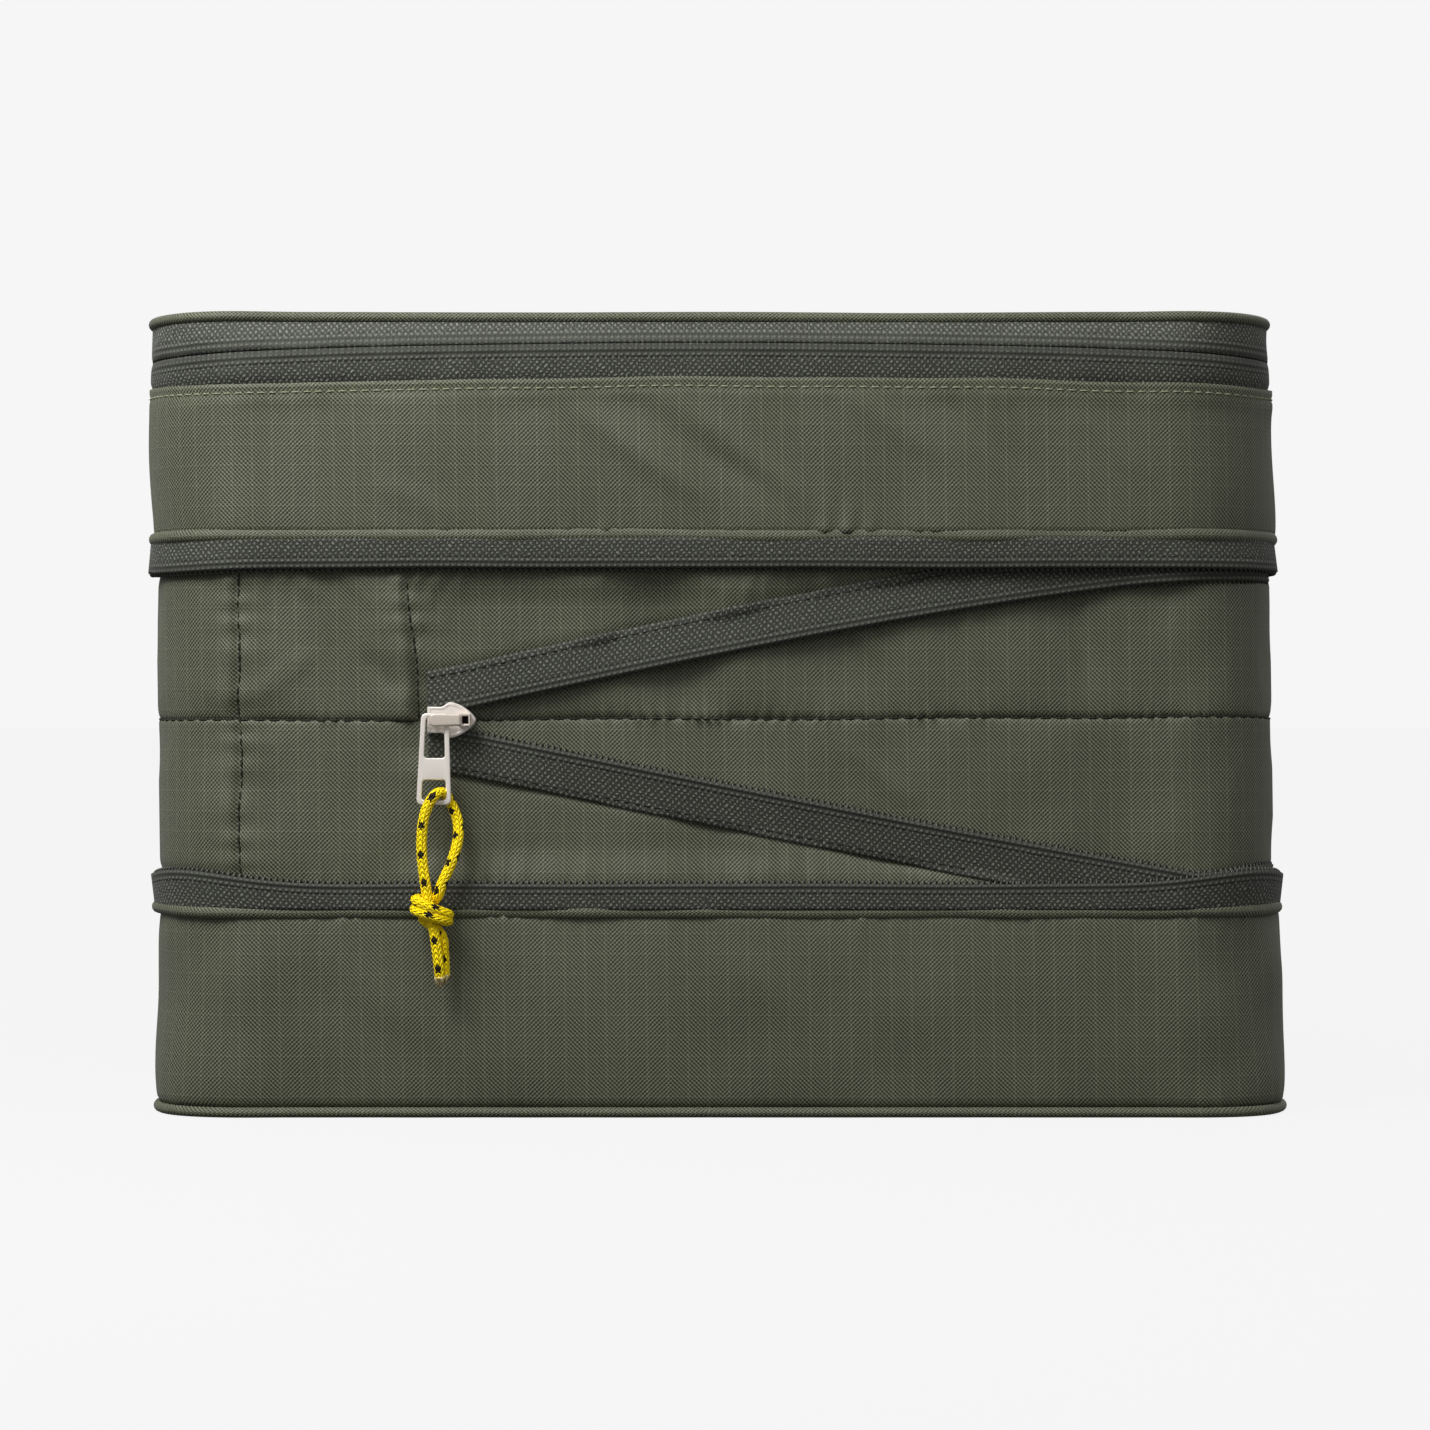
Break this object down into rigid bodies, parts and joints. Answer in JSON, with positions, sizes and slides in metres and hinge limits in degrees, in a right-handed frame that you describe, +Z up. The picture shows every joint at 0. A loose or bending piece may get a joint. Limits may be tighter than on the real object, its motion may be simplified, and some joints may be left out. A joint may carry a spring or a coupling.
{
  "type": "packing cube",
  "caption": "Expandable fabric packing cube with a zip-round lid, a pleated gusset closed by a spiral compression zip, and a corded pull.",
  "frame": {"origin": "middle of the base's underside", "axes": "+Z up, -Y towards the short side where the compression zip starts, +X towards that zip's far end"},
  "size_m": [0.2943, 0.3973, 0.202],
  "materials": {
    "ripstop_cloth": "matte",
    "binding_tape": "matte",
    "zip_tape": "matte",
    "zip_coil": "satin",
    "satin_nickel": "satin",
    "slider_crown": "brushed",
    "cord": "braided"
  },
  "bodies": {
    "base": {"base_panel": "ripstop_cloth", "bottom_piping": "ripstop_cloth", "base_seam_binding": "binding_tape", "lower_wall": "ripstop_cloth", "lower_welt": "ripstop_cloth", "lower_seam_binding": "binding_tape", "compression_tape_lower": "zip_tape", "compression_coil_lower": "zip_coil"},
    "upper": {"upper_wall": "ripstop_cloth", "upper_welt": "ripstop_cloth", "upper_seam_binding": "binding_tape", "compression_tape_upper": "zip_tape", "compression_coil_upper": "zip_coil", "main_tape_wall": "zip_tape", "main_coil_wall": "zip_coil", "hinge_strip": "ripstop_cloth", "main_zip_end_tabs": "ripstop_cloth"},
    "gusset_mid": {"gusset_centre_binding": "binding_tape", "gusset_panel_upper": "ripstop_cloth", "gusset_panel_insert": "ripstop_cloth", "gusset_panel_lower": "ripstop_cloth", "spiral_tape_upper": "zip_tape", "spiral_tape_lower": "zip_tape", "spiral_coil_upper": "zip_coil", "spiral_coil_lower": "zip_coil"},
    "compression_slider": {"compression_slider_body": "satin_nickel", "compression_slider_crown": "slider_crown", "compression_slider_lock": "slider_crown"},
    "compression_pull": {"compression_pull_tab": "satin_nickel", "pull_cord": "cord", "pull_cord_knot": "cord", "pull_cord_tails": "cord"},
    "lid": {"lid_panel": "ripstop_cloth", "lid_piping": "ripstop_cloth", "lid_seam_binding": "binding_tape", "main_tape_lid": "zip_tape", "main_coil_lid": "zip_coil"},
    "main_slider_a": {"main_slider_a_body": "satin_nickel", "main_slider_a_crown": "slider_crown", "main_slider_a_lock": "slider_crown"},
    "main_slider_b": {"main_slider_b_body": "satin_nickel", "main_slider_b_crown": "slider_crown", "main_slider_b_lock": "slider_crown"},
    "main_pull_a": {"main_pull_a": "satin_nickel"},
    "main_pull_b": {"main_pull_b": "satin_nickel"}
  },
  "joints": [
    {"name": "compress", "type": "slide", "parent": "base", "child": "upper", "axis": [0, 0, -1], "range_m": [0, 0.0768], "deforming": ["gusset_panel_upper", "gusset_panel_insert", "gusset_panel_lower", "spiral_tape_upper", "spiral_tape_lower", "spiral_coil_upper", "spiral_coil_lower"]},
    {"name": "gusset_fold", "type": "slide", "parent": "base", "child": "gusset_mid", "axis": [0, 0, -1], "range_m": [0, 0.04]},
    {"name": "compression_zip", "type": "slide", "parent": "gusset_mid", "child": "compression_slider", "axis": [0.9999, -0.0134, 0], "range_m": [0, 0.1724]},
    {"name": "compression_pull_swing", "type": "hinge", "parent": "compression_slider", "child": "compression_pull", "pos_m": [-0.0702, -0.194, 0.0995], "axis": [0, 1, 0], "range_deg": [-35, 35]},
    {"name": "lid_open", "type": "hinge", "parent": "upper", "child": "lid", "pos_m": [0, 0.1943, 0.1991], "axis": [-1, 0, 0], "range_deg": [0, 180]},
    {"name": "main_zip_a", "type": "slide", "parent": "upper", "child": "main_slider_a", "axis": [0, -1, 0], "range_m": [0, 0.14]},
    {"name": "main_zip_b", "type": "slide", "parent": "upper", "child": "main_slider_b", "axis": [0, 1, 0], "range_m": [0, 0.14]},
    {"name": "main_pull_a_swing", "type": "hinge", "parent": "main_slider_a", "child": "main_pull_a", "pos_m": [0.144, -0.0122, 0.193], "axis": [1, 0, 0], "range_deg": [-35, 35]},
    {"name": "main_pull_b_swing", "type": "hinge", "parent": "main_slider_b", "child": "main_pull_b", "pos_m": [0.144, 0.0122, 0.193], "axis": [1, 0, 0], "range_deg": [-35, 35]}
  ],
  "couplings": [
    {"joint": "gusset_fold", "follows": "compress", "ratio": 0.51953},
    {"joint": "compression_zip", "follows": "compress", "ratio": 2.2398}
  ]
}
